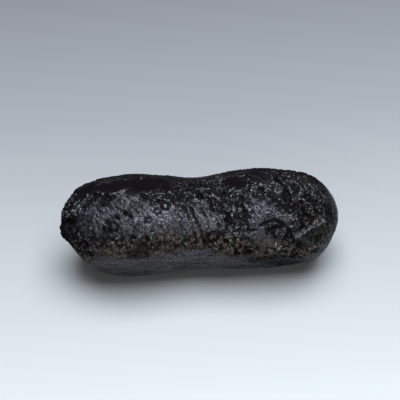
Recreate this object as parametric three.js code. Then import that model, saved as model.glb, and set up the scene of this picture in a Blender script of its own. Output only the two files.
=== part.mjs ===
// An indochinite tektite: one piece of black natural glass, a dumbbell 72 mm long lying on its side.
//
// Frame: +X runs along the stone to its round end, -Y is its front, +Z is up. The origin is under the middle
// of the stone's box, on the surface that it rests on. Lengths are millimetres, angles are degrees.
//
// A place on the skin is [along, around]: along is X, and around is the angle about the stone's own axis,
// with 0 facing the front, 90 the top, 180 the back and 270 the underside.

import * as THREE from "three";

// Driving dimensions.
const LENGTH = 71.8;
const KNOBBED_LOBE = { radius: 13.65, cap: 17.8 }; // left lobe, and the length of its tapered end
const ROUND_LOBE = { radius: 13.15, cap: 15.3 };
const WAIST = { along: -1.9, spread: 9.5, loss: 1.7 }; // how much thinner the waist is than the lobes
const AXIS_HEIGHT = 12.5; // less than the lobes' radii, so that each lobe is worn flat where it rests
const TIP = { start: -20, rise: 0.012 }; // past the start the left tip curls up, by rise x reach squared

// Mesh density: rings from tip to tip, and points round each ring, a little closer together on the front.
const RINGS = 74;
const POINTS_ROUND = 66;
const FRONT_BIAS = 9;

// Planed facets: the direction that each faces, as a turn from the front about Z and a height over the
// horizon, how far out its plane lies from the middle of the axis, and how softly the skin bends onto it.
const FACETS = [
  { name: "front underside", turn: 0, height: -29, out: 11.45, soft: 0.35 },
  { name: "top, towards the back", turn: 180, height: 72, out: 12.6, soft: 0.4 },
  { name: "back of the knobbed end", turn: 221, height: 43, out: 26.0, soft: 0.4 },
  { name: "below the knobbed end", turn: 292, height: -30, out: 29.0, soft: 0.3 },
  { name: "back underside", turn: 190, height: -30, out: 12.3, soft: 0.5 },
  { name: "back of the round end", turn: 140, height: 12, out: 27.5, soft: 0.6 },
  { name: "foot of the knobbed end", turn: 310, height: -45, out: 23.3, soft: 0.4 },
  { name: "foot of the round end", turn: 68, height: -24, out: 31.9, soft: 0.4 },
  { name: "under the knobbed end", turn: 270, height: -60, out: 22.5, soft: 0.5 },
  { name: "under the round end", turn: 90, height: -60, out: 22.0, soft: 0.5 },
];

// Lumps raised over the skin.
const LUMPS = [
  { name: "end nub", at: [-35.3, 14], radius: 2.6, height: 1.0 },
  { name: "end knob", at: [-34.6, 84], radius: 2.2, height: 0.7 },
  { name: "corner of the knobbed end", at: [-31.4, 128], radius: 2.5, height: 0.25 },
  { name: "heel", at: [-28, 314], radius: 2.6, height: 0.8 },
  { name: "brow of the gouge", at: [-24.5, 98], radius: 2.2, height: 0.6 },
  { name: "shoulder of the knobbed lobe", at: [-21, 130], radius: 6, height: 0.55 },
  { name: "shoulder of the round lobe", at: [16, 112], radius: 8, height: 0.35 },
  { name: "rise behind the waist", at: [1.5, 135], radius: 5, height: 0.45 },
  { name: "rise under the waist", at: [0, 313], radius: 4, height: 0.4 },
  { name: "back hump", at: [-13, 172], radius: 7, height: 0.5 },
  { name: "back boss", at: [24, 185], radius: 5, height: 0.6 },
];

// Furrows sunk into the skin along a line of places.
const FURROWS = [
  { name: "waist crease", through: [[-3, 62], [-1.6, 46], [-0.6, 32], [0.4, 12]], half: 0.8, depth: 0.6 },
  { name: "second crease", through: [[-4.8, 66], [-3, 44], [-1.9, 22]], half: 0.7, depth: 0.35 },
  { name: "crevice", through: [[1.9, 66], [2.5, 58], [6, 52], [7, 40]], half: 0.8, depth: 0.7 },
  { name: "lobe crease", through: [[10, 66], [9.8, 54], [10.5, 38], [11, 6]], half: 0.9, depth: 0.75 },
  { name: "crescent, left", through: [[13, 31], [16.4, 40], [18.1, 42]], half: 1.0, depth: 0.9 },
  { name: "crescent, right", through: [[18.1, 42], [20.9, 33], [22, 18], [22.6, 6]], half: 1.0, depth: 0.9 },
  { name: "shoulder", through: [[19.4, 108], [19.8, 86], [20, 74], [20.6, 60]], half: 1.0, depth: 1.0 },
  { name: "end trough", through: [[-35.6, 52], [-32.9, 49], [-30.2, 41]], half: 1.3, depth: 1.1 },
  { name: "gouge", through: [[-30, 70], [-28.2, 77], [-26.8, 83]], half: 0.9, depth: 0.7 },
  { name: "end crevice", through: [[25, 54], [26, 48], [27.2, 42]], half: 1.0, depth: 0.8 },
  { name: "back crease", through: [[-1, 152], [0, 170], [2, 190], [0, 230]], half: 1.1, depth: 0.7 },
  { name: "underside crease", through: [[-22, 250], [-8, 262], [8, 255]], half: 1.0, depth: 0.5 },
];

// Ridges raised over the skin in the same way.
const RIDGES = [
  { name: "end crest", through: [[-34.3, 62], [-32.2, 71], [-30.1, 79], [-28.4, 87]], half: 1, height: 0.7 },
  { name: "top crest", through: [[-25.2, 88], [-22.7, 83], [-18.6, 91], [-13, 90]], half: 1.1, height: 0.5 },
  { name: "round end crest", through: [[23.6, 19], [27.1, 29], [30.4, 35]], half: 1.0, height: 0.65 },
  { name: "lower edge", through: [[-24, 8], [-15, 8], [-8, 13], [0, 11], [8, -4]], half: 1.5, height: 0.3 },
];

// Single pits that stand out.
const PITS = [
  { at: [-25.2, 73], radius: 1.7, depth: 0.9 },
  { at: [-23.3, 80], radius: 1.5, depth: 0.9 },
  { at: [-21.5, 54], radius: 1.5, depth: 0.8 },
  { at: [-19, 58], radius: 1.5, depth: 0.8 },
  { at: [-18, 48], radius: 1.5, depth: 0.8 },
  { at: [-25, 41], radius: 1.5, depth: 0.9 },
  { at: [-22.6, 37], radius: 1.5, depth: 0.9 },
  { at: [-30.2, 18], radius: 1.6, depth: 0.9 },
  { at: [-17.6, 32], radius: 1.5, depth: 0.8 },
  { at: [-14.4, 30], radius: 1.7, depth: 0.8 },
  { at: [-16.8, 12], radius: 2.6, depth: 0.5 },
  { at: [-10.5, 70], radius: 1.5, depth: 0.9 },
  { at: [-10.9, 60], radius: 1.5, depth: 0.7 },
  { at: [-0.5, 79], radius: 1.8, depth: 0.9 },
  { at: [5.9, 44], radius: 2.0, depth: 1.0 },
  { at: [8.6, 62], radius: 2.1, depth: 1.0 },
  { at: [5.4, 73], radius: 1.8, depth: 0.9 },
  { at: [2.1, 24], radius: 2.0, depth: 1.2 },
  { at: [5.5, 19], radius: 1.5, depth: 0.8 },
  { at: [8.4, 3], radius: 1.6, depth: 1.1 },
  { at: [11.2, 4], radius: 1.6, depth: 1.2 },
  { at: [18.2, 30], radius: 1.6, depth: 0.8 },
  { at: [18.2, 11], radius: 1.5, depth: 0.7 },
  { at: [16, -13], radius: 1.6, depth: 0.9 },
  { at: [19.6, -12], radius: 1.8, depth: 1.1 },
  { at: [23.2, -16], radius: 2.2, depth: 0.7 },
  { at: [21.9, 50], radius: 1.9, depth: 0.9 },
  { at: [21.2, 85], radius: 1.6, depth: 0.9 },
  { at: [25.2, 33], radius: 1.8, depth: 0.9 },
  { at: [29.2, 50], radius: 1.6, depth: 1.0 },
  { at: [-12, 136], radius: 2.6, depth: 0.6 },
  { at: [6, 131], radius: 1.8, depth: 0.8 },
  { at: [-20, 152], radius: 2.3, depth: 0.9 },
  { at: [-8, 125], radius: 1.9, depth: 0.8 },
  { at: [11, 150], radius: 2.3, depth: 0.9 },
  { at: [27, 155], radius: 2.1, depth: 1.0 },
  { at: [-27, 198], radius: 2.1, depth: 0.9 },
  { at: [13, 207], radius: 2.5, depth: 0.9 },
  { at: [2, 172], radius: 2.0, depth: 0.8 },
  { at: [29.5, 205], radius: 1.9, depth: 0.8 },
  { at: [-14, 222], radius: 2.2, depth: 0.8 },
];

// Belts where pits crowd together, on both sides of a line of places.
const BELTS = [
  { name: "over the waist", through: [[-12, 78], [-6, 76], [-1, 92], [4, 78], [8, 62], [8, 46]], half: 4.2 },
  { name: "below the waist", through: [[2, 24], [7, 16], [11, 8]], half: 3.5 },
  { name: "round end", through: [[21, 90], [24, 70], [28, 56], [25.5, 32]], half: 5 },
  { name: "crescent's floor", through: [[16, 30], [19, 26]], half: 3.5 },
  { name: "foot of the round lobe", through: [[14, -14], [19, -12], [24, -18]], half: 3.5 },
  { name: "knobbed end", through: [[-31, 110], [-34, 80], [-34.5, 20], [-31, 0]], half: 4.5 },
  { name: "back of the round lobe", through: [[24, 125], [16, 160], [21, 215]], half: 6 },
  { name: "back of the knobbed lobe", through: [[-28, 150], [-18, 175], [-9, 205]], half: 6 },
  { name: "underneath", through: [[-14, 285], [-4, 262], [5, 275], [18, 300]], half: 4.5 },
];
const BELT_PITS = { spacing: 3.3, radius: 2.2, depth: 0.9 };
const STRAY_PITS = { spacing: 5.5, radius: 2.6, depth: 0.5 };

// Waves of gentle unevenness: how far apart, which way they run, and how high.
const WAVES = [
  { apart: 17, way: [0.8, 0.5, 0.3], height: 0.16 },
  { apart: 11, way: [0.5, -0.6, 0.6], height: 0.14 },
  { apart: 8, way: [0.7, 0.3, -0.6], height: 0.1 },
];

const degrees = Math.PI / 180;
const clamp01 = (t) => Math.min(1, Math.max(0, t));

// The radius of the plain dumbbell at X: two lobes and a waist, closed by elliptical caps.
function plainRadius(x) {
  const share = 1 / (1 + Math.exp(-x / 6));
  const lobe = KNOBBED_LOBE.radius + (ROUND_LOBE.radius - KNOBBED_LOBE.radius) * share;
  const waist = WAIST.loss * Math.exp(-(((x - WAIST.along) / WAIST.spread) ** 2));
  const reach = clamp01(Math.min((x + LENGTH / 2) / KNOBBED_LOBE.cap, (LENGTH / 2 - x) / ROUND_LOBE.cap));
  return (lobe - waist) * Math.sqrt(reach * (2 - reach));
}

function plainPoint(x, around) {
  const lift = TIP.rise * Math.max(0, TIP.start - x) ** 2;
  const radius = plainRadius(x);
  const across = -radius * Math.cos(around * degrees);
  const up = AXIS_HEIGHT + lift + radius * Math.sin(around * degrees);
  return new THREE.Vector3(x, across, up);
}

// Moves a point softly back behind each facet's plane.
function planed(point) {
  for (const { turn, height, out, soft } of FACETS) {
    const level = Math.cos(height * degrees);
    const facing = new THREE.Vector3(
      Math.sin(turn * degrees) * level,
      -Math.cos(turn * degrees) * level,
      Math.sin(height * degrees),
    );
    const over = facing.dot(point) - facing.z * AXIS_HEIGHT - out;
    point.addScaledVector(facing, -soft * Math.log1p(Math.exp(over / soft)));
  }
  return point;
}

const skinPoint = (x, around) => planed(plainPoint(x, around));
const placePoint = ([along, around]) => skinPoint(along, around);

// Points on the skin along the straight runs between a line's places.
function skinLine(through) {
  const steps = 10;
  const line = [placePoint(through[0])];
  for (let run = 1; run < through.length; run++) {
    const [fromAlong, fromAround] = through[run - 1];
    const [toAlong, toAround] = through[run];
    for (let step = 1; step <= steps; step++) {
      const t = step / steps;
      line.push(skinPoint(fromAlong + (toAlong - fromAlong) * t, fromAround + (toAround - fromAround) * t));
    }
  }
  return line;
}

const bell = (distance, half) => Math.exp(-((distance / half) ** 2));
const bowl = (distance, radius) => Math.max(0, 1 - (distance / radius) ** 2);
const nearest = (point, line) => Math.min(...line.map((p) => p.distanceTo(point)));

// A repeatable number from 0 to 1 for a cell of space.
function chance(i, j, k, salt) {
  const wave = Math.sin(i * 127.1 + j * 311.7 + k * 74.7 + salt * 53.3) * 43758.5453;
  return wave - Math.floor(wave);
}

// Depth of scattered pits at a point: one pit in each cell of space, at a place and size of its own.
function scatteredPits(point, { spacing, radius, depth }) {
  const cell = point.clone().divideScalar(spacing).floor();
  let deepest = 0;
  for (let i = cell.x - 1; i <= cell.x + 1; i++)
    for (let j = cell.y - 1; j <= cell.y + 1; j++)
      for (let k = cell.z - 1; k <= cell.z + 1; k++) {
        const middle = new THREE.Vector3(i, j, k);
        middle.x += chance(i, j, k, 1);
        middle.y += chance(i, j, k, 2);
        middle.z += chance(i, j, k, 3);
        const size = 0.6 + 0.4 * chance(i, j, k, 4);
        const away = middle.multiplyScalar(spacing).distanceTo(point);
        deepest = Math.max(deepest, depth * size * bowl(away, radius * size));
      }
  return deepest;
}

const lumps = LUMPS.map((lump) => ({ ...lump, place: placePoint(lump.at) }));
const pits = PITS.map((pit) => ({ ...pit, place: placePoint(pit.at) }));
const furrows = FURROWS.map((furrow) => ({ ...furrow, line: skinLine(furrow.through) }));
const ridges = RIDGES.map((ridge) => ({ ...ridge, line: skinLine(ridge.through) }));
const belts = BELTS.map((belt) => ({ ...belt, line: skinLine(belt.through) }));
const waves = WAVES.map((wave) => ({ ...wave, way: new THREE.Vector3(...wave.way) }));

// How far the finished skin stands out from the planed one.
function relief(point) {
  let raised = 0;
  for (const lump of lumps) raised += lump.height * bell(lump.place.distanceTo(point), lump.radius);
  for (const ridge of ridges) raised += ridge.height * bell(nearest(point, ridge.line), ridge.half);
  for (const { apart, way, height } of waves)
    raised += height * Math.sin((way.dot(point) * 2 * Math.PI) / apart);
  const belted = Math.max(...belts.map((belt) => bell(nearest(point, belt.line), belt.half)));
  const crowding = clamp01(1.5 * belted);
  const sunk = Math.max(
    crowding * scatteredPits(point, BELT_PITS),
    (1 - crowding) * scatteredPits(point, STRAY_PITS),
    ...furrows.map((furrow) => furrow.depth * bell(nearest(point, furrow.line), furrow.half)),
    ...pits.map((pit) => pit.depth * bowl(pit.place.distanceTo(point), pit.radius)),
  );
  return raised - sunk;
}

// A point of the finished skin, which is worn flat where the stone rests.
function finishedPoint(x, around) {
  const point = skinPoint(x, around);
  const alongSkin = skinPoint(x + 0.05, around).sub(skinPoint(x - 0.05, around));
  const roundSkin = skinPoint(x, around + 1).sub(skinPoint(x, around - 1));
  const outward = alongSkin.cross(roundSkin).normalize();
  point.addScaledVector(outward, relief(point));
  point.z = Math.max(0, point.z);
  return point;
}

// How far along X a place lies from a lobe's tip, from its distance over the skin: round the cap, then
// straight.
function reachOver(skin, { radius, cap }) {
  const arc = (cap + radius) * (Math.PI / 4);
  return skin < arc ? cap * (1 - Math.cos((skin / arc) * 90 * degrees)) : cap + skin - arc;
}

// The rings' places along X, evenly spaced over the skin from each tip to the middle.
function ringPlaces() {
  const leftSkin = (KNOBBED_LOBE.cap + KNOBBED_LOBE.radius) * (Math.PI / 4) + LENGTH / 2 - KNOBBED_LOBE.cap;
  const rightSkin = (ROUND_LOBE.cap + ROUND_LOBE.radius) * (Math.PI / 4) + LENGTH / 2 - ROUND_LOBE.cap;
  return Array.from({ length: RINGS }, (_, ring) => {
    const skin = ((ring + 1) / (RINGS + 1)) * (leftSkin + rightSkin);
    if (skin < leftSkin) return reachOver(skin, KNOBBED_LOBE) - LENGTH / 2;
    return LENGTH / 2 - reachOver(leftSkin + rightSkin - skin, ROUND_LOBE);
  });
}

function ringPoints(x) {
  return Array.from({ length: POINTS_ROUND }, (_, i) => {
    const turn = (i / POINTS_ROUND) * 360;
    return finishedPoint(x, turn - FRONT_BIAS * Math.sin((turn - 45) * degrees));
  });
}

// A tip closes the ring next to it, at that ring's middle and a little further out.
function tipPoint(ring, out) {
  const middle = new THREE.Vector3();
  for (const point of ring) middle.addScaledVector(point, 1 / ring.length);
  middle.x += out;
  return middle;
}

function stoneGeometry() {
  const rings = ringPlaces().map(ringPoints);
  const points = [tipPoint(rings[0], -0.1), ...rings.flat(), tipPoint(rings[RINGS - 1], 0.1)];
  const at = (ring, i) => 1 + ring * POINTS_ROUND + (i % POINTS_ROUND);
  const faces = [];
  for (let i = 0; i < POINTS_ROUND; i++) {
    faces.push(0, at(0, i), at(0, i + 1));
    for (let ring = 0; ring < RINGS - 1; ring++) {
      const [a, b, c, d] = [at(ring, i), at(ring + 1, i), at(ring + 1, i + 1), at(ring, i + 1)];
      if (points[a].distanceTo(points[c]) < points[b].distanceTo(points[d])) faces.push(a, b, c, a, c, d);
      else faces.push(a, b, d, b, c, d);
    }
    faces.push(points.length - 1, at(RINGS - 1, i + 1), at(RINGS - 1, i));
  }
  const geometry = new THREE.BufferGeometry().setFromPoints(points).setIndex(faces);
  geometry.computeBoundingBox();
  const middle = geometry.boundingBox.getCenter(new THREE.Vector3());
  geometry.translate(-middle.x, -middle.y, 0);
  geometry.computeVertexNormals();
  return geometry;
}

const glass = new THREE.MeshStandardMaterial({ color: 0x17181a, roughness: 0.45, metalness: 0 });
const stone = new THREE.Mesh(stoneGeometry(), glass);
stone.name = "tektite";

const tektite = new THREE.Group();
tektite.add(stone);
export default tektite;
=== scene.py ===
import bpy
import numpy as np
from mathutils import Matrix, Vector


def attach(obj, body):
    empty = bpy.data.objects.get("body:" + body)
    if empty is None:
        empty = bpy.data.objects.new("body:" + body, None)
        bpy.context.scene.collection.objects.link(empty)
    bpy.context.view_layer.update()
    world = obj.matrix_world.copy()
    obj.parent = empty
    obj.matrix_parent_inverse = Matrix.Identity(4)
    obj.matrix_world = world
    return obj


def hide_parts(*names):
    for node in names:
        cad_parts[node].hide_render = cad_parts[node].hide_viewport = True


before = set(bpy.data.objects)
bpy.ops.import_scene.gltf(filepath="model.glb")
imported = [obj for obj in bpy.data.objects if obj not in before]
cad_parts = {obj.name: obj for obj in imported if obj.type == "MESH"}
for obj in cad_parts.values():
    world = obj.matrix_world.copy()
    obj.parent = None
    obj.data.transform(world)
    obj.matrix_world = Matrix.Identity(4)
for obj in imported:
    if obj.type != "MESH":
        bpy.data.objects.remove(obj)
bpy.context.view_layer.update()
print("frame loaded:", sorted(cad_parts))

millimetre = 0.001

# Lengths are millimetres up to the mesh, which is in metres. A place on the skin is
# (along, around): along is X, and around is the angle about the stone's own axis, with 0 at the
# front, 90 on top, 180 at the back and 270 underneath.

stone = {
    # the grid
    "ringCount": 360,
    "pointsRound": 276,
    "pointBias": {"towards": 45, "reach": 14},  # degrees: points crowd to the front and top
    "tipReach": 0.05,  # how far the closing points stand out
    # the form
    "length": 71.8,
    "leftLobe": {"radius": 13.65, "cap": 17.8},
    "rightLobe": {"radius": 13.15, "cap": 15.3},
    "lobeStep": 6,  # over how long a way one lobe's radius turns into the other's
    "waist": {"along": -1.9, "spread": 9.5, "loss": 1.7},
    "axisHeight": 12.5,
    "tip": {"start": -20, "rise": 0.012},
    "boxMiddle": (-0.12, -0.04),  # the middle of the stone's box before it is centred
    "facets": [  # turn from the front, height over the horizon, distance out, softness
        (0, -29, 11.45, 0.35),
        (180, 72, 12.6, 0.4),
        (221, 43, 26.0, 0.4),
        (292, -30, 29.0, 0.3),
        (190, -30, 12.3, 0.5),
        (140, 12, 27.5, 0.6),
        (310, -45, 23.3, 0.4),
        (68, -24, 31.9, 0.4),
        (270, -60, 22.5, 0.5),
        (90, -60, 22.0, 0.5),
    ],
    # the relief
    "lumps": [  # place, radius, height
        ((-35.3, 14), 2.6, 0.9),
        ((-35.0, 0), 1.6, 0.35),
        ((-34.6, 84), 2.2, 0.7),
        ((-30.8, 112), 1.4, 0.35),
        ((-31.3, 126), 0.9, 0.45),
        ((-34.2, 96), 0.9, 0.4),
        ((-27.6, 113), 1.2, 0.3),
        ((-31.4, 128), 2.5, 0.25),
        ((-28, 314), 2.6, 0.8),
        ((-24.5, 98), 2.2, 0.6),
        ((-21, 130), 6, 0.55),
        ((16, 112), 8, 0.35),
        ((1.5, 135), 5, 0.45),
        ((4.4, 117), 0.8, 0.4),
        ((7.8, 119), 1.1, 0.35),
        ((0, 313), 4, 0.4),
        ((-13, 172), 7, 0.5),
        ((24, 185), 5, 0.6),
    ],
    "ridges": [  # line, half width, height
        ([(-34.3, 60), (-32.2, 71), (-30.1, 78), (-28.4, 85)], 0.55, 0.75),
        ([(-22.9, 80), (-21.4, 83), (-19.9, 87), (-18.1, 92)], 0.5, 0.5),
        ([(23.6, 19), (27.1, 29), (31.3, 35)], 0.55, 0.85),
        ([(-24, 8), (-15, 8), (-8, 13), (0, 11), (8, -4)], 1.2, 0.35),
    ],
    "beads": [  # place, radius, height
        ((-25.2, 84), 0.6, 0.5),
        ((-28.5, 86), 0.5, 0.45),
        ((-24.4, 101), 0.6, 0.4),
        ((-24.8, 74), 0.45, 0.35),
        ((-21.8, 109), 0.5, 0.3),
        ((-18.9, 118), 0.5, 0.35),
        ((-17.7, 101), 0.4, 0.25),
        ((-15, 116), 0.4, 0.35),
        ((-12.6, 102), 0.45, 0.3),
        ((-10.4, 94), 0.5, 0.35),
        ((-18.3, 34), 0.75, 0.5),
        ((-16.1, 32), 0.6, 0.4),
        ((-13.8, 30), 0.7, 0.45),
        ((-20.6, 57), 0.6, 0.4),
        ((-17.2, 47), 0.7, 0.4),
        ((-24.2, 39), 0.65, 0.4),
        ((-11.8, 60), 0.6, 0.35),
        ((-23.2, 83), 0.9, 0.5),
        ((-26.6, 88), 0.8, 0.5),
        ((-1.5, 22), 0.6, 0.35),
        ((2.2, 25), 0.6, 0.45),
        ((18.5, 7), 0.9, 0.6),
        ((18.1, 13), 0.45, 0.45),
        ((22, 7), 0.45, 0.4),
        ((20.6, -14), 0.5, 0.4),
        ((24.4, -8), 0.5, 0.4),
        ((27.6, 0), 0.45, 0.4),
        ((25.6, 6), 0.45, 0.4),
        ((18.2, 25), 0.7, 0.5),
        ((16.6, 34), 0.7, 0.4),
        ((23.2, 20), 0.8, 0.5),
        ((22.4, 58), 0.7, 0.5),
        ((21.8, 77), 0.8, 0.5),
        ((24.8, 88), 0.9, 0.5),
        ((24.8, 27), 0.5, 0.45),
        ((26.3, 29), 0.45, 0.4),
        ((27.9, 31), 0.5, 0.45),
        ((29.4, 33), 0.45, 0.4),
        ((30.8, 35), 0.5, 0.45),
    ],
    "waves": [  # distance apart, way, height
        (17, (0.8, 0.5, 0.3), 0.16),
        (11, (0.5, -0.6, 0.6), 0.14),
        (8, (0.7, 0.3, -0.6), 0.1),
    ],
    "furrows": [  # line, half width, depth
        ([(-3, 62), (-1.6, 46), (-0.6, 32), (0.4, 14)], 0.35, 0.5),
        ([(-4.8, 66), (-3, 44), (-1.9, 22)], 0.3, 0.35),
        ([(-0.2, 62), (0.6, 48), (1.3, 36)], 0.28, 0.3),
        ([(1.9, 66), (2.5, 58), (6, 52), (7, 40)], 0.32, 0.5),
        ([(9.8, 74), (10, 62), (10.5, 55), (10.8, 46), (11, 32), (12.9, 31)], 0.3, 0.45),
        ([(14.2, 36), (16, 40.5), (18, 42), (20.1, 37), (21.8, 29), (22.3, 19)], 0.36, 0.65),
        ([(19.5, 108), (19.5, 97), (21.2, 80), (22.4, 63)], 0.45, 1),
        ([(-35.8, 52), (-34.7, 49), (-33.2, 45)], 0.75, 1.0),
        ([(-30, 70), (-28.2, 77), (-26.8, 83)], 0.5, 0.7),
        ([(-27, 86), (-24.6, 80), (-22.3, 78)], 0.4, 0.45),
        ([(25.2, 62), (25.8, 48), (27.2, 42)], 0.45, 0.9),
        ([(-1, 152), (0, 170), (2, 190), (0, 230)], 0.7, 0.5),
        ([(-22, 250), (-8, 262), (8, 255)], 0.7, 0.5),
    ],
    "ringMarks": [  # place, radius of the circle, half width, depth
        ((-24.8, 74), 0.95, 0.32, 0.6),
        ((2.2, 25), 1.35, 0.34, 0.5),
        ((-11.1, 60), 0.75, 0.28, 0.35),
        ((-13.8, 49), 0.65, 0.28, 0.35),
        ((4.6, 33), 1.1, 0.3, 0.25),
        ((29.2, 62), 0.9, 0.35, 0.5),
        ((22.1, 52), 0.8, 0.3, 0.4),
        ((27.4, 67), 1.0, 0.33, 0.5),
        ((24.2, 80), 0.95, 0.3, 0.45),
        ((30.4, 50), 0.9, 0.3, 0.45),
        ((-9.2, 66), 0.9, 0.3, 0.45),
        ((-22.6, 44), 0.9, 0.28, 0.4),
        ((23.2, -16), 1.2, 0.35, 0.5),
    ],
    "pits": [  # place, radius across the grain, depth
        ((-23.3, 78), 0.6, 0.8),
        ((-21.6, 54), 0.5, 0.8),
        ((-19.4, 58), 0.5, 0.8),
        ((-18.4, 54), 0.5, 0.8),
        ((-25, 41), 0.55, 0.8),
        ((-23.8, 40), 0.55, 0.8),
        ((-30.2, 18), 0.7, 0.9),
        ((-17.6, 32), 0.55, 0.7),
        ((-14.4, 30), 0.6, 0.7),
        ((-10.6, 72), 0.55, 0.8),
        ((-0.5, 79), 0.8, 0.8),
        ((5.9, 44), 0.55, 0.8),
        ((8.6, 62), 0.6, 0.8),
        ((5.4, 73), 0.5, 0.7),
        ((5.5, 19), 0.6, 0.8),
        ((8.4, 3), 0.7, 1.0),
        ((11.2, 4), 0.7, 1.1),
        ((16, -13), 0.7, 0.8),
        ((19.6, -12), 0.9, 1.0),
        ((21.5, 66), 0.7, 0.9),
        ((25.2, 33), 0.7, 0.6),
        ((29.2, 50), 0.6, 0.9),
        ((-12, 136), 1.3, 0.6),
        ((6, 131), 1.0, 0.8),
        ((-20, 152), 1.3, 0.9),
        ((-8, 125), 1.0, 0.8),
        ((11, 150), 1.3, 0.9),
        ((27, 155), 1.2, 1.0),
        ((-27, 198), 1.2, 0.9),
        ((13, 207), 1.4, 0.9),
        ((2, 172), 1.1, 0.8),
        ((29.5, 205), 1.0, 0.8),
        ((-14, 222), 1.2, 0.8),
    ],
    # zones: line, half width and, where it isn't 1, the share in the middle
    "belts": [  # crowded pits and knobs
        ([(-12, 80), (-6, 80), (-1, 92)], 2.9),
        ([(-1, 92), (4, 78), (8, 62), (8, 46)], 3.6),
        ([(13, 82), (18, 75), (20.5, 66)], 2.7),
        ([(4.8, 21), (7, 16), (11, 8)], 3),
        ([(21, 90), (24, 70), (28, 56)], 3.6),
        ([(27, 50), (25.5, 40)], 3.2),
        ([(18, 32), (20, 24)], 2),
        ([(11.5, 106), (12.8, 98)], 1.3),
        ([(18.8, 112), (19.2, 98)], 1.6),
        ([(14, -14), (18, 0), (23, 4), (26, -3)], 2.6),
        ([(16, -18), (20, -18), (25, -13), (28, -7)], 1.6, 0.8),
        ([(-31, 110), (-34, 80), (-34.5, 20), (-31, 0)], 3.5),
        ([(24, 125), (16, 160), (21, 215)], 6),
        ([(-28, 150), (-18, 175), (-9, 205)], 6),
        ([(-14, 285), (-4, 262), (5, 275), (18, 300)], 4.5),
    ],
    "calm": [  # skin that kept its smooth finish
        ([(-28, 104), (-22, 98), (-15, 101), (-10, 103)], 4.2),
        ([(14.5, 112), (16.5, 100)], 2.5),
        ([(8, 101), (10, 91)], 2.5, 0.85),
        ([(-28, 120), (-20, 125), (-12, 123), (-5, 115)], 3.6, 0.62),
        ([(9, 120), (14, 126), (20, 129), (27, 118)], 3.4, 0.62),
        ([(25, 122), (29, 113), (32.5, 100)], 2.6, 0.55),
        ([(-18.6, 12), (-14.8, 14)], 2),
        ([(25, 4), (29, 16), (32, 22)], 2.6, 0.6),
    ],
    "speckled": [  # finer pits alone
        ([(-30, 30), (-22, 25), (-12, 20), (-3, 20), (5, 20)], 3.4),
        ([(24, 0), (30, 12), (33, 40), (31, 70)], 4),
        ([(-34, 30), (-32, 8)], 3),
        ([(-8, 158), (3, 172), (14, 186)], 4.5),
    ],
    "stained": [  # brown with soil
        ([(-22, 20), (-12, 16), (-5, 20), (1, 21)], 2.3, 0.85),
        ([(-33, 14), (-25, 17)], 2.2, 0.32),
        ([(4, 20), (10, 14)], 2.2, 0.7),
        ([(24.5, 105), (27.5, 102)], 1.2, 0.5),
        ([(8, 4), (16, -4), (24, -6), (31, 0)], 6, 0.42),
        ([(-14, 22), (-6, 24), (0, 26), (6, 12)], 4.5, 0.42),
        ([(23, 66), (26, 50), (28.5, 38)], 3.2, 0.34),
        ([(-31, -24), (-27, -26)], 3.5),
        ([(-6, 160), (12, 185)], 5, 0.32),
    ],
    "dulled": [  # ends, edges and patches that lost their shine
        ([(33, -30), (35.2, 10), (35, 60), (33, 90)], 3, 0.3),
        ([(-34.5, 30), (-34.5, -20)], 3, 0.8),
        ([(-26, 70), (-22, 72)], 3.5, 0.7),
        ([(-21, 66), (-17, 64)], 4.2, 0.8),
        ([(-15, 61), (-11, 56)], 2.8, 0.25),
        ([(-7, 78), (-3, 74)], 2, 0.55),
        ([(3, 92), (6.5, 90)], 2, 0.4),
        ([(-5, 62), (4, 59)], 2.6, 0.5),
        ([(0, 46), (3, 36)], 2.5, 0.15),
        ([(12.5, 56), (15.5, 48), (14, 37)], 3.2, 0.33),
        ([(13, 14), (17, 12)], 2.2, 0.15),
        ([(15, 62), (21, 60)], 3.4, 0.5),
        ([(-6, 88), (2, 84)], 4, 0.28),
        ([(-30, 130), (-20, 128), (-12, 129), (-4, 122), (4, 120)], 3, 0.45),
        ([(4, 120), (10, 126), (18, 132), (26, 122), (31, 112)], 3, 0.45),
    ],
    "worn": [  # painted highlights: first pale glints along the sharp crests, then faintly some broad patches
        ([(-34.2, 60), (-32.8, 68), (-31.4, 73), (-30.5, 76)], 0.3, 0.7),
        ([(-22.7, 80), (-21.4, 83), (-19.9, 87), (-18.3, 91)], 0.22, 0.4),
        ([(24.8, 27), (26.3, 29), (27.9, 31), (29.4, 33), (31.3, 35)], 0.22, 0.45),
        ([(21.5, 84), (24, 70), (28, 60)], 3.2, 0.14),
        ([(17, 4), (22, -6), (27, -4)], 3, 0.17),
        ([(0.8, 34), (3.8, 37), (5.8, 29)], 2.2, 0.24),
        ([(-20, -8), (-12, -8)], 3, 0.15),
        ([(18, 106), (17.5, 92), (17, 80)], 1.8, 0.17),
        ([(3, 80), (7, 60), (8, 34)], 3, 0.05),
        ([(4.5, 76), (4.5, 60), (4.2, 44)], 2, 0.17),
    ],
    "sheens": [  # finely etched, with a painted sheen of grey
        ([(-26, 56), (-20, 58), (-14, 52), (-6, 46), (-3, 42)], 4.6),
        ([(-31, 52), (-28, 58)], 3, 0.6),
        ([(-19, 72), (-15, 75), (-12, 71)], 2.8, 0.8),
        ([(0, 46), (2, 38), (4.6, 34)], 2.4),
        ([(12.5, 56), (15.5, 48), (14, 37)], 3.5),
    ],
    "dustLine": [  # along, around: below this lies the smooth front band, which carries a painted reflection of the floor
        (-36, -40), (-29, -24), (-26, 0), (-23.5, 2), (-20, 4), (-17.3, 2), (-13, 8), (-6, 12),
        (0, 10), (4, 3), (6, -4), (10, -13), (15, -30), (20, -42), (36, -56),
    ],
    "dustSoftness": [(6, 3), (24, 24)],  # along, degrees over which the band comes in
    "dustBack": (-150, -90),  # around: the band is gone at the first and full at the second
    "dustWander": [(2.6, 4), (0.9, 3)],  # size, and reach in degrees, of its uneven edge
    "dustCover": 0.7,  # share of the grain that the smooth band loses
    # scattered forms
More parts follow.
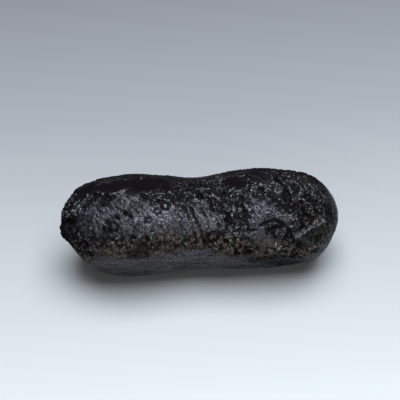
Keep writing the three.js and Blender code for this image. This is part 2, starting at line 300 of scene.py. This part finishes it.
    "grainWay": (0.47, -0.68, -0.57),  # the way that pits are drawn out
    "grainStretch": 1.8,
    "smallest": 0.6,  # the smallest bowl or grain as a share of the largest
    "beltPits": (2.6, 0.85, 0.7),  # distance apart, radius, depth
    "strayPits": (5.5, 1.1, 0.5),
    "knobs": (1.12, 0.83, 0.5),  # distance apart, radius, height of the grains in the belts
    "grit": (0.9, 0.68, 0.28),  # the finer grains outside the belts
    "speckledKnobs": 0.5,  # share of the knobs' height in the speckled skin
    "plainGrit": 0.4,  # share of the grit's height outside belts and speckled skin
    "sheenGritLoss": 0.6,
    "wander": [(1.7, 0.26), (0.75, 0.15)],  # size and reach of the uneven run of rims and creases
    "etching": [(1.3, 0.03), (0.6, 0.03)],  # size and height of the uneven skin
    "growth": 0.16,  # lifts the rough skin by what its fine pits take away on average
    # how a zone's bells become its mask
    "beltGain": 1.5,
    "speckleGain": 1.1,
    "calmGain": 1.7,
    "calmLoss": 0.45,
    # numbers that set the chances of each kind apart
    "salts": {
        "knobs": 20,
        "grit": 40,
        "etching": (60, 61),
        "wander": (81, 82, 83),
        "dust": (84, 85),
    },
}


def bell(distance, half):
    # a Gaussian that falls from 1 in the middle
    return np.exp(-((distance / half) ** 2))


def bowl(distance, radius):
    # a round hollow with a sharp rim: 1 less the square of the share of the radius
    return np.maximum(0, 1 - (distance / radius) ** 2)


def lengths(offsets):
    # the length of each offset
    return np.linalg.norm(offsets, axis=-1)


def plainRadius(along):
    # two lobes joined by a logistic step, less a Gaussian waist, closed by elliptical caps
    left, right, waist = stone["leftLobe"], stone["rightLobe"], stone["waist"]
    half = stone["length"] / 2
    step = 1 + np.exp(-along / stone["lobeStep"])
    lobe = left["radius"] + (right["radius"] - left["radius"]) / step
    narrow = lobe - waist["loss"] * bell(along - waist["along"], waist["spread"])
    reach = np.minimum((along + half) / left["cap"], (half - along) / right["cap"])
    reach = np.clip(reach, 0, 1)
    return narrow * np.sqrt(reach * (2 - reach))


def skinPoints(along, around):
    # circles of the plain radius about a rising axis, each moved softly back behind every facet
    turn = np.radians(around)
    radius = plainRadius(along)
    lift = stone["tip"]["rise"] * np.maximum(0, stone["tip"]["start"] - along) ** 2
    height = stone["axisHeight"] + lift + radius * np.sin(turn)
    points = np.stack([along + 0 * turn, -radius * np.cos(turn), height], -1)
    for facing, tilt, out, soft in stone["facets"]:
        facing, tilt = np.radians(facing), np.radians(tilt)
        level = np.cos(tilt)
        normal = np.array([np.sin(facing) * level, -np.cos(facing) * level, np.sin(tilt)])
        over = points @ normal - normal[2] * stone["axisHeight"] - out
        points = points - (soft * np.logaddexp(0, over / soft))[..., None] * normal
    return points


slopeSteps = (0.05, 1)  # how far to each side a slope is read: millimetres along, degrees around


def skinNormals(along, around):
    # the cross product of the skin's slopes along and around it
    ahead, aside = slopeSteps
    slopeAlong = skinPoints(along + ahead, around) - skinPoints(along - ahead, around)
    slopeAround = skinPoints(along, around + aside) - skinPoints(along, around - aside)
    normals = np.cross(slopeAlong, slopeAround)
    return normals / lengths(normals)[..., None]


chanceWay = (127.1, 311.7, 74.7, 53.3)  # uneven numbers, so that no two cells come out alike
chanceGain = 43758.5453  # large, so that close cells have nothing in common


def chance(i, j, k, salt):
    # a repeatable number from 0 to 1 for a cell of space: the fraction of a large sine
    a, b, c, d = chanceWay
    wave = np.sin(i * a + j * b + k * c + salt * d) * chanceGain
    return wave - np.floor(wave)


def drawnOut(offsets):
    # shortens the part of each offset that lies along the grain, which makes round forms long
    # that way
    way = np.array(stone["grainWay"]) / np.linalg.norm(stone["grainWay"])
    return offsets - (1 - 1 / stone["grainStretch"]) * (offsets @ way)[..., None] * way


def scattered(points, spacing, radius, salt=0):
    # one bowl in each cell of space, at a place and size of its own; the greatest of the 27
    # nearest counts
    cell = np.floor(points / spacing)
    greatest = np.zeros(points.shape[:-1])
    for shift in np.ndindex(3, 3, 3):
        i, j, k = (cell[..., axis] + shift[axis] - 1 for axis in range(3))
        jitter = np.stack([chance(i, j, k, salt + axis) for axis in (1, 2, 3)], -1)
        middle = (np.stack([i, j, k], -1) + jitter) * spacing
        size = stone["smallest"] + (1 - stone["smallest"]) * chance(i, j, k, salt + 4)
        away = lengths(middle - points)
        greatest = np.maximum(greatest, size * bowl(away, radius * size))
    return greatest


def softNoise(points, size, salt):
    # value noise from -1 to 1: a chance at each corner of a cell, blended smoothly between them
    place = points / size
    cell = np.floor(place)
    part = place - cell
    part = part * part * (3 - 2 * part)
    total = np.zeros(points.shape[:-1])
    for corner in np.ndindex(2, 2, 2):
        weight = np.prod(np.where(np.array(corner) == 1, part, 1 - part), axis=-1)
        total += weight * chance(*(cell[..., axis] + corner[axis] for axis in range(3)), salt)
    return 2 * total - 1


stepsPerRun = 10  # from each place of a line to the next


def skinLine(through):
    # points on the skin along straight runs of (along, around)
    through = np.array(through, float)
    share = np.arange((len(through) - 1) * stepsPerRun + 1) / stepsPerRun
    stops = np.arange(len(through))
    along, around = (np.interp(share, stops, values) for values in through.T)
    return skinPoints(along, around)


def awayFromLine(points, through):
    # distance to the nearest point of a line on the skin
    nearest = np.full(points.shape[:-1], np.inf)
    for place in skinLine(through):
        nearest = np.minimum(nearest, lengths(points - place))
    return nearest


def offsetsFrom(points, place):
    # the points less one place on the skin
    return points - skinPoints(*np.array(place, float))


def zone(points, name):
    # the greatest of the bells about the lines of one kind
    bells = []
    for line, half, *share in stone[name]:
        bells.append(bell(awayFromLine(points, line), half) * (share or [1])[0])
    return np.max(bells, 0)


def bandShare(along, around):
    # 1 below the band's line and 0 above it, softened more towards the right end, and fading
    # towards the back
    facing = (around + 180) % 360 - 180
    line = np.interp(along, *np.array(stone["dustLine"], float).T)
    softness = np.interp(along, *np.array(stone["dustSoftness"], float).T)
    gone, full = stone["dustBack"]
    below = np.clip((line - facing) / softness, 0, 1)
    return below * np.clip((facing - gone) / (full - gone), 0, 1)


def raisedRelief(skin, places, rough):
    # the sum of bells at the lumps, beads and ridges, of long sine waves and of fine noise
    raised = stone["growth"] * rough
    for kind, near in (("lumps", skin), ("beads", places)):
        for place, radius, height in stone[kind]:
            raised += height * bell(lengths(offsetsFrom(near, place)), radius)
    for through, half, height in stone["ridges"]:
        raised += height * bell(awayFromLine(places, through), half)
    for apart, way, height in stone["waves"]:
        raised += height * np.sin(skin @ np.array(way) * 2 * np.pi / apart)
    for (size, height), salt in zip(stone["etching"], stone["salts"]["etching"]):
        raised += rough * height * softNoise(skin, size, salt)
    return raised


def sunkenRelief(places, crowding, calm):
    # the deepest of the scattered bowls, furrows, ring marks and pits at each point
    sunk = np.zeros(places.shape[:-1])
    for kind, share in (("beltPits", crowding), ("strayPits", 1 - crowding)):
        apart, radius, depth = stone[kind]
        bowls = scattered(drawnOut(places), apart, radius)
        sunk = np.maximum(sunk, share * (1 - calm) * depth * bowls)
    for through, half, depth in stone["furrows"]:
        sunk = np.maximum(sunk, depth * bell(awayFromLine(places, through), half))
    for place, ring, half, depth in stone["ringMarks"]:
        away = lengths(offsetsFrom(places, place)) - ring
        sunk = np.maximum(sunk, depth * bell(away, half))
    for place, radius, depth in stone["pits"]:
        away = lengths(drawnOut(offsetsFrom(places, place)))
        sunk = np.maximum(sunk, depth * bowl(away, radius))
    return sunk


def grainGaps(points, kind):
    # how deep the skin lies between domed grains: their height times 1 less the root of a bowl
    apart, radius, height = stone[kind]
    grains = scattered(points, apart, radius, stone["salts"][kind])
    return height * (1 - np.sqrt(grains))


def stoneSurface(along, around):
    # skin plus raised relief less hollows and the gaps between grains, along the normal, worn
    # flat at the resting height
    skin = skinPoints(along, around)
    salts = stone["salts"]
    places = skin
    for size, reach in stone["wander"]:
        wander = np.stack([softNoise(skin, size, salt) for salt in salts["wander"]], -1)
        places = places + reach * wander
    edge = around
    for (size, reach), salt in zip(stone["dustWander"], salts["dust"]):
        edge = edge + reach * softNoise(skin, size, salt)
    # the smooth front band, which also carries a painted reflection of the floor
    dusty = bandShare(along, edge)
    crowding = np.clip(stone["beltGain"] * zone(skin, "belts"), 0, 1)
    finer = zone(skin, "speckled")
    speckle = np.clip(crowding + stone["speckleGain"] * finer, 0, 1)
    calm = np.clip(stone["calmGain"] * zone(places, "calm") - stone["calmLoss"], 0, 1)
    sheens = zone(skin, "sheens")
    rough = (1 - calm) * (1 - stone["dustCover"] * dusty)
    knobs = np.maximum(crowding, stone["speckledKnobs"] * finer)
    grit = stone["plainGrit"] + (1 - stone["plainGrit"]) * speckle
    grit = (1 - crowding) * (1 - stone["sheenGritLoss"] * sheens) * grit
    sunk = sunkenRelief(places, crowding, calm)
    sunk = sunk + rough * knobs * grainGaps(places, "knobs")
    sunk = sunk + rough * grit * grainGaps(skin, "grit")
    raised = raisedRelief(skin, places, rough)
    points = skin + (raised - sunk)[..., None] * skinNormals(along, around)
    points[..., 2] = np.maximum(0, points[..., 2])
    # the hollow's depth also sets painted shade in the glass
    masks = {"hollow": sunk, "speckle": speckle, "calm": calm, "dusty": dusty, "sheens": sheens}
    for name in ("stained", "dulled", "worn"):
        masks[name] = zone(places, name)
    return points, masks


def evenPlaces():
    # rings evenly spaced over the skin: by equal angles round each elliptical cap, straight
    # between them
    left, right, half = stone["leftLobe"], stone["rightLobe"], stone["length"] / 2
    leftArc, rightArc = (np.pi / 4 * (lobe["cap"] + lobe["radius"]) for lobe in (left, right))
    whole = leftArc + stone["length"] - left["cap"] - right["cap"] + rightArc
    skin = np.arange(1, stone["ringCount"] + 1) / (stone["ringCount"] + 1) * whole
    back = whole - skin
    leftCap = left["cap"] * (1 - np.cos(np.minimum(skin / leftArc, 1) * np.pi / 2)) - half
    rightCap = half - right["cap"] * (1 - np.cos(np.minimum(back / rightArc, 1) * np.pi / 2))
    middle = np.where(back < rightArc, rightCap, skin - leftArc + left["cap"] - half)
    return np.where(skin < leftArc, leftCap, middle)


def buildStone():
    # a grid of rings and points round, with a fan at each tip
    rings, count = stone["ringCount"], stone["pointsRound"]
    turn = np.arange(count) / count * 360
    bias = stone["pointBias"]
    turn = turn - bias["reach"] * np.sin(np.radians(turn - bias["towards"]))
    along, around = np.meshgrid(evenPlaces(), turn, indexing="ij")
    points, masks = stoneSurface(along, around)
    reach = np.array([stone["tipReach"], 0, 0])
    tips = [points[0].mean(0) - reach, points[-1].mean(0) + reach]
    vertices = np.concatenate([points.reshape(-1, 3), tips]) - (*stone["boxMiddle"], 0)
    number = np.arange(rings * count).reshape(rings, count)
    nextRound = np.roll(number, -1, axis=1)
    quads = np.stack([number[:-1], number[1:], nextRound[1:], nextRound[:-1]], -1).reshape(-1, 4)
    leftTip, rightTip = rings * count, rings * count + 1
    leftFan = np.stack([np.full(count, leftTip), number[0], nextRound[0]], -1)
    rightFan = np.stack([np.full(count, rightTip), nextRound[-1], number[-1]], -1)
    faces = quads.tolist() + leftFan.tolist() + rightFan.tolist()
    mesh = bpy.data.meshes.new("stoneSkin")
    mesh.from_pydata((vertices * millimetre).tolist(), [], faces)
    mesh.polygons.foreach_set("use_smooth", np.ones(len(mesh.polygons), bool))
    for name, values in masks.items():
        layer = mesh.attributes.new(name, "FLOAT", "POINT")
        layer.data.foreach_set("value", np.append(values.ravel(), (0, 0)).astype(np.float32))
    mesh.update()
    piece = bpy.data.objects.new("stoneSkin", mesh)
    bpy.context.collection.objects.link(piece)
    return piece


stonePiece = buildStone()
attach(stonePiece, "root")
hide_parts("tektite")
print("stone built:", len(stonePiece.data.vertices), "points")


class wire:
    # one socket of a node: sums on it add Math nodes
    def __init__(self, sheet, socket):
        self.sheet, self.socket = sheet, socket

    def maths(self, operation, first, second):
        sockets = {0: first, 1: second}
        return self.sheet.node("ShaderNodeMath", {"operation": operation}, sockets)["Value"]

    def __add__(self, other):
        return self.maths("ADD", self, other)

    def __radd__(self, other):
        return self.maths("ADD", other, self)

    def __sub__(self, other):
        return self.maths("SUBTRACT", self, other)

    def __rsub__(self, other):
        return self.maths("SUBTRACT", other, self)

    def __mul__(self, other):
        return self.maths("MULTIPLY", self, other)

    def __rmul__(self, other):
        return self.maths("MULTIPLY", other, self)


class placedNode:
    # a node whose outputs are read as wires, by name or by number
    def __init__(self, sheet, made):
        self.sheet, self.made = sheet, made

    def __getitem__(self, name):
        return wire(self.sheet, self.made.outputs[name])


class nodeSheet:
    # a material with an empty tree, and short ways to add nodes to it
    def __init__(self, name):
        self.material = bpy.data.materials.new(name)
        self.material.use_nodes = True
        self.tree = self.material.node_tree
        self.tree.nodes.clear()

    def node(self, kind, settings=None, sockets=None):
        # settings come first; a socket takes a number, a tuple or a wire
        made = self.tree.nodes.new(kind)
        for name, value in (settings or {}).items():
            if name == "stops":
                for place, colour in value[1:-1]:
                    made.color_ramp.elements.new(place)
                for element, (place, colour) in zip(made.color_ramp.elements, value):
                    element.position, element.color = place, colour
            else:
                setattr(made, name, value)
        for name, value in (sockets or {}).items():
            if isinstance(value, wire):
                self.tree.links.new(value.socket, made.inputs[name])
            else:
                made.inputs[name].default_value = value
        return placedNode(self, made)

    def vector(self, operation, sockets):
        return self.node("ShaderNodeVectorMath", {"operation": operation}, sockets)

    def between(self, value, low, high):
        # 0 at the low value, 1 at the high one, straight between them
        sockets = {"Value": value, "From Min": low, "From Max": high}
        return self.node("ShaderNodeMapRange", {"clamp": True}, sockets)["Result"]

    def noise(self, coords, scale, detail):
        sockets = {"Vector": coords, "Scale": scale, "Detail": detail}
        return self.node("ShaderNodeTexNoise", None, sockets)["Fac"]

    def cells(self, coords, scale):
        # distance to the nearest of points strewn unevenly
        sockets = {"Vector": coords, "Scale": scale, "Randomness": 1}
        return self.node("ShaderNodeTexVoronoi", {"feature": "F1"}, sockets)["Distance"]

    def streaks(self, coords, way, scale, keep):
        # noise drawn out along a way: only a share of the place's part along it is kept
        way = np.array(way) / np.linalg.norm(way)
        along = self.vector("DOT_PRODUCT", {0: coords, 1: tuple(way)})["Value"]
        drop = self.vector("SCALE", {0: tuple(way), "Scale": along * (1 - keep)})[0]
        return self.noise(self.vector("SUBTRACT", {0: coords, 1: drop})[0], scale, 2)

    def mix(self, share, first, second):
        # colours: inputs 6 and 7 and output 2 of a Mix node in colour mode
        return self.node("ShaderNodeMix", {"data_type": "RGBA"}, {0: share, 6: first, 7: second})[2]


glass = {
    # colours
    "black": (0.0025, 0.0023, 0.0028, 1),
    "brown": (0.014, 0.0098, 0.0046, 1),
    "grey": (0.029, 0.033, 0.0405, 1),  # painted sheen on the sheens
    # painted reflection of the pale floor, on the smooth front band
    "dust": (0.029, 0.0445, 0.0415, 1),
    "lilac": (0.0475, 0.0375, 0.0515, 1),  # the painted reflection's other tint
    "paleDust": (0.064, 0.07, 0.0755, 1),  # and its paler painted reflection low down, near the floor
    "soil": (0.0023, 0.0016, 0.0019, 1),  # the dark matte fill: painted shade in the hollows
    "stain": (0.028, 0.0148, 0.0044, 1),  # where the soil is brown
    "olive": (0.0185, 0.0195, 0.0055, 1),  # the stain's other tint
    # painted highlights: the crests' glints, pale patches and specks
    "worn": (0.1, 0.1, 0.085, 1),
    # patterns: scales per metre, sizes in metres
    "cloudScale": 180,  # where the skin turns brown
    "patchScale": 420,  # the tints of the dust and the stain
    "fineGrain": 0.00042,  # the etched grains
    "noisePerGrain": 0.7,
    "coarseGrain": 0.0009,
    "streakGap": 0.0005,
    "noisePerStreak": 0.8,
    "streakKeep": 0.3,  # the less is kept, the longer the streaks
    "flowKeep": 0.1,
    "dotGap": 0.00045,  # the fine dull dots all over
    "swirlWay": (-0.5, -0.62, -0.6),  # the way of the hatching on the round lobe
    "roundLobe": (0.01, 0.012),  # X from which that hatching comes in, and is alone
    # heights in millimetres
    "fineHeight": 0.17,
    "coarseHeight": 0.25,
    "streakHeight": 0.22,
    # shine
    "refraction": 1.5,
    "calmRoughness": 0.1,
    "etchedRoughness": 0.36,
    "pittedRoughness": 0.27,
    "glintRoughness": 0.14,
    "soilRoughness": 0.9,
    "soilSpecular": 0.02,
    # the value of its pattern at which each effect starts, and at which it is full
    "edges": {
        "brown": (0.55, 0.85),
        "olive": (0.5, 0.6),
        "stain": (0.5, 0.8),
        "grey": (0.7, 1.3),
        "lilac": (0.42, 0.58),
        "paleDust": (0.0125, 0.002),  # heights over the floor
        "dustGrain": (0.44, 0.56),
        "specks": (0.61, 0.68),
        "stainSpecks": (0.1, 0.7),
        "worn": (0.35, 0.6),
        "glints": (0.5, 0.64),
        "gaps": (0.35, 0.6),
        "strokes": (0.5, 0.6),
        "spots": (0.48, 0.62),
        "flow": (0.49, 0.64),
        "soil": (0.12, 0.55),  # depth of hollow in millimetres, over which painted shade comes in
    },
    # how far one thing changes another, or shows
    "shares": {
        "calmSmooths": 0.9,
        "sheenSmooths": 0.6,
        "dustSmooths": 0.25,
        "calmCleans": 0.4,  # less stain on calm skin
        "stainBrowns": 0.35,  # more brown where it is stained
        "cloudStains": 0.6,  # more stain in the brown clouds
        "stainCleans": 0.6,  # stain in place of the painted reflection
        "paleDust": 0.8,
        "plainDust": 0.45,  # the painted reflection between its grains
        "specks": 0.4,
        "sheenGlints": 0.5,
    },
    # millimetres of hollow that each thing counts as, where the dark fill dulls the glass; the fill
    # by depth of hollow is painted shade
    "dullness": {
        "dulled": 0.45,
        "calm": 0.4,
        "strokes": 0.3,
        "spots": 0.25,
        "sheenSpots": 0.1,  # fewer in the sheens
        "gaps": 0.15,  # painted shade in the low middles of the coarse cells
        "worn": 0.6,  # taken away where highlights are painted
        "flow": 0.35,
        "dustSpots": 1.3,
        "dustCover": 0.85,  # share of the rest that the smooth band hides
    },
    "fullSoil": 0.92,
}


def glassPatterns(sheet):
    # the skin's own masks, and the noises and cells that the glass is made from
    coords = sheet.node("ShaderNodeTexCoord")["Object"]
    axes = sheet.node("ShaderNodeSeparateXYZ", None, {"Vector": coords})
    parts = {"height": axes["Z"]}
    for name in ("hollow", "speckle", "calm", "dusty", "stained", "dulled", "sheens", "worn"):
        parts[name] = sheet.node("ShaderNodeAttribute", {"attribute_name": name})["Fac"]
    parts["clouds"] = sheet.noise(coords, glass["cloudScale"], 3)
    parts["patches"] = sheet.noise(coords, glass["patchScale"], 2)
    parts["fine"] = sheet.noise(coords, glass["noisePerGrain"] / glass["fineGrain"], 1)
    parts["dots"] = sheet.noise(coords, 1 / glass["dotGap"], 1)
    parts["cells"] = sheet.cells(coords, 1 / glass["fineGrain"])
    parts["coarse"] = sheet.cells(coords, 1 / glass["coarseGrain"])
    scale, keep = glass["noisePerStreak"] / glass["streakGap"], glass["streakKeep"]
    parts["flow"] = sheet.streaks(coords, (1, 0, 0), scale, glass["flowKeep"])
    hatch = sheet.streaks(coords, stone["grainWay"], scale, keep)
    swirl = sheet.streaks(coords, glass["swirlWay"], scale, keep)
    parts["hatch"] = hatch + sheet.between(axes["X"], *glass["roundLobe"]) * (swirl - hatch)
    return parts


def glassBump(sheet, parts):
    # fine and coarse grains plus streaks in the smooth band and the sheens, less on calm skin
    share = glass["shares"]
    calm, dusty, sheens = parts["calm"], parts["dusty"], parts["sheens"]
    fine = parts["fine"] + parts["cells"] * (1 - sheens * share["sheenSmooths"])
    grains = fine * glass["fineHeight"] + parts["coarse"] * parts["speckle"] * glass["coarseHeight"]
    lines = (parts["flow"] * dusty + parts["hatch"] * sheens) * glass["streakHeight"]
    height = grains * (1 - dusty * share["dustSmooths"]) + lines
    height = height * (1 - calm * share["calmSmooths"])
    sockets = {"Height": height, "Distance": millimetre, "Strength": 1.0}
    return sheet.node("ShaderNodeBump", None, sockets)["Normal"]


def glassColour(sheet, parts):
    # black, then brown clouds, stain, the painted sheen's grey, the painted reflection of the floor
    # on the band, and painted highlights over one another
    edge, share = glass["edges"], glass["shares"]
    clouds, patches, fine = parts["clouds"], parts["patches"], parts["fine"]
    calm, dusty, stained, sheens = (parts[name] for name in ("calm", "dusty", "stained", "sheens"))
    browned = sheet.between(clouds + stained * share["stainBrowns"], *edge["brown"])
    browned = browned * (1 - calm * share["calmSmooths"])
    colour = sheet.mix(browned, glass["black"], glass["brown"])
    tint = sheet.mix(sheet.between(patches, *edge["olive"]), glass["stain"], glass["olive"])
    tinted = sheet.between(stained + clouds * share["cloudStains"], *edge["stain"])
    colour = sheet.mix(tinted * (1 - calm * share["calmCleans"]), colour, tint)
    # painted sheen: grey standing in for the sheens' reflection
    paintedSheenShare = sheens * sheet.between(parts["hatch"] + fine, *edge["grey"])
    colour = sheet.mix(paintedSheenShare, colour, glass["grey"])
    # painted reflection of the floor on the smooth front band, paler low down
    dust = sheet.mix(sheet.between(patches, *edge["lilac"]), glass["dust"], glass["lilac"])
    low = sheet.between(parts["height"], *edge["paleDust"]) * share["paleDust"]
    dust = sheet.mix(low, dust, glass["paleDust"])
    grainy = share["plainDust"] + (1 - share["plainDust"]) * sheet.between(fine, *edge["dustGrain"])
    colour = sheet.mix(dusty * (1 - stained * share["stainCleans"]) * grainy, colour, dust)
    # painted highlights: pale specks in the stained skin, and glints along the crests
    specks = sheet.between(1 - parts["dots"], *edge["specks"])
    specks = specks * sheet.between(stained, *edge["stainSpecks"])
    specks = specks * (1 - dusty) * (1 - calm) * share["specks"]
    highlighted = parts["worn"] * sheet.between(fine, *edge["worn"])
    return sheet.mix(specks + highlighted, colour, glass["worn"])


def glassRoughness(sheet, parts):
    # etched or pitted skin with sharper glints, and smooth where it is calm
    pitted = glass["pittedRoughness"] - glass["etchedRoughness"]
    plain = glass["etchedRoughness"] + parts["speckle"] * pitted
    glints = sheet.between(parts["fine"], *glass["edges"]["glints"])
    glints = glints * (1 - parts["dusty"])
    glints = glints * (1 - parts["sheens"] * glass["shares"]["sheenGlints"])
    sharp = plain + glints * (glass["glintRoughness"] - plain)
    return sharp + parts["calm"] * (glass["calmRoughness"] - sharp)


def glassShadeFill(sheet, parts):
    # the share of dark fill over the glass: painted shade by depth of hollow and in the low middles
    # of the coarse cells, with what counts as depth added
    edge, by = glass["edges"], glass["dullness"]
    dusty, sheens, worn = parts["dusty"], parts["sheens"], parts["worn"]
    strokes = sheet.between(parts["hatch"], *edge["strokes"]) * sheens
    spots = sheet.between(parts["dots"], *edge["spots"]) * (by["spots"] - sheens * by["sheenSpots"])
    gaps = (1 - sheet.between(parts["coarse"], *edge["gaps"])) * parts["speckle"]
    # painted shade: the deeper the hollow, the more dark fill
    dull = parts["hollow"] + parts["dulled"] * by["dulled"] + parts["calm"] * by["calm"]
    dull = dull + strokes * by["strokes"] + spots + gaps * by["gaps"] - worn * by["worn"]
    bandDull = sheet.between(parts["flow"], *edge["flow"]) * by["flow"] + spots * by["dustSpots"]
    dull = dull * (1 - dusty * by["dustCover"]) + dusty * bandDull
    return sheet.between(dull, *edge["soil"]) * glass["fullSoil"]


def makeGlass():
    # glossy etched glass, with a dark matte fill mixed over it: painted shade in the hollows, and
    # dull patches
    sheet = nodeSheet("etchedGlass")
    parts = glassPatterns(sheet)
    bump = glassBump(sheet, parts)
    bare = sheet.node("ShaderNodeBsdfPrincipled", None, {
        "Base Color": glassColour(sheet, parts),
        "Roughness": glassRoughness(sheet, parts),
        "Normal": bump,
        "IOR": glass["refraction"],
    })["BSDF"]
    filled = sheet.node("ShaderNodeBsdfPrincipled", None, {
        "Base Color": glass["soil"],
        "Roughness": glass["soilRoughness"],
        "Normal": bump,
        "Specular IOR Level": glass["soilSpecular"],
    })["BSDF"]
    sockets = {0: glassShadeFill(sheet, parts), 1: bare, 2: filled}
    shader = sheet.node("ShaderNodeMixShader", None, sockets)["Shader"]
    sheet.node("ShaderNodeOutputMaterial", None, {"Surface": shader})
    return sheet.material


stonePiece.data.materials.append(makeGlass())
print("glass made")

floor = {
    "half": 3.0,
    "roughness": 0.8,
    "paint": [  # Y, then the colour there: painted light, darker towards the back
        (-0.05, (0.328, 0.333, 0.318, 1)),
        (0, (0.242, 0.246, 0.238, 1)),
        (0.06, (0.157, 0.1585, 0.158, 1)),
        (0.125, (0.101, 0.1005, 0.1045, 1)),
    ],
}


def makeFloorPaint():
    # colours along Y, blended between the stops: painted light, darker towards the back
    sheet = nodeSheet("palePaper")
    coords = sheet.node("ShaderNodeTexCoord")["Object"]
    across = sheet.node("ShaderNodeSeparateXYZ", None, {"Vector": coords})["Y"]
    front, back = floor["paint"][0][0], floor["paint"][-1][0]
    stops = [((y - front) / (back - front), colour) for y, colour in floor["paint"]]
    share = sheet.between(across, front, back)
    colour = sheet.node("ShaderNodeValToRGB", {"stops": stops}, {"Fac": share})["Color"]
    sockets = {"Base Color": colour, "Roughness": floor["roughness"]}
    shader = sheet.node("ShaderNodeBsdfPrincipled", None, sockets)["BSDF"]
    sheet.node("ShaderNodeOutputMaterial", None, {"Surface": shader})
    return sheet.material


def layFloor():
    # one flat square
    half = floor["half"]
    corners = [(-half, -half, 0), (half, -half, 0), (half, half, 0), (-half, half, 0)]
    mesh = bpy.data.meshes.new("floor")
    mesh.from_pydata(corners, [], [(0, 1, 2, 3)])
    mesh.materials.append(makeFloorPaint())
    piece = bpy.data.objects.new("floor", mesh)
    bpy.context.collection.objects.link(piece)


layFloor()
print("floor laid")

studio = {
    "lights": {
        "key": {
            "at": (0.12, 0.065, 1.2),
            "size": (1.1, 1.25),
            "power": 52,
            "colour": (0.82, 0.89, 1.0),
        },
        "card": {
            "at": (-0.05, -0.8, 0.33),
            "size": (1.2, 0.45),
            "power": 3.8,
            "colour": (0.95, 0.96, 1.0),
        },
    },
    "room": (0.070, 0.064, 0.064),
}


def hangLight(name, at, size, power, colour):
    # an area light turned to the middle of the floor
    light = bpy.data.lights.new(name, "AREA")
    light.shape = "RECTANGLE"
    light.size, light.size_y = size
    light.energy, light.color = power, colour
    lamp = bpy.data.objects.new(name, light)
    lamp.location = at
    x, y, z = at
    lamp.rotation_euler = (np.arctan2(-y, np.hypot(x, z)), np.arctan2(x, z), 0)
    bpy.context.collection.objects.link(lamp)


def fillRoom():
    # an even, dim light from all sides
    world = bpy.data.worlds.new("room")
    world.use_nodes = True
    background = world.node_tree.nodes["Background"]
    background.inputs["Color"].default_value = (*studio["room"], 1)
    bpy.context.scene.world = world


for name, values in studio["lights"].items():
    hangLight(name, **values)
fillRoom()
print("lights hung")

camera = {
    "turn": -4.75,  # degrees from the front towards the right
    "height": 43,  # degrees over the horizon
    "away": 0.38,
    "frameWidth": 0.104,  # what the frame spans at the stone
    "stoneMiddle": (0, 0, 0.0132),
    "drop": 0.00551,  # how far the stone's middle lies under the frame's
    "sensor": 36,
    "clip": (0.01, 20),
}


def placeCamera():
    # on a sphere round the stone's middle, looking a little over it
    turn, height = np.radians(camera["turn"]), np.radians(camera["height"])
    level = np.cos(height)
    back = Vector((np.sin(turn) * level, -np.cos(turn) * level, np.sin(height)))
    right = Vector((np.cos(turn), np.sin(turn), 0))
    middle = Vector(camera["stoneMiddle"])
    lens = bpy.data.cameras.new("camera")
    lens.sensor_width = camera["sensor"]
    lens.lens = camera["sensor"] * camera["away"] / camera["frameWidth"]
    lens.clip_start, lens.clip_end = camera["clip"]
    eye = bpy.data.objects.new("camera", lens)
    eye.location = middle + back * camera["away"]
    target = middle + back.cross(right) * camera["drop"]
    eye.rotation_euler = (target - eye.location).to_track_quat("-Z", "Y").to_euler()
    bpy.context.collection.objects.link(eye)
    bpy.context.scene.camera = eye


placeCamera()
bpy.context.scene.view_settings.view_transform = "Standard"
print("camera placed")
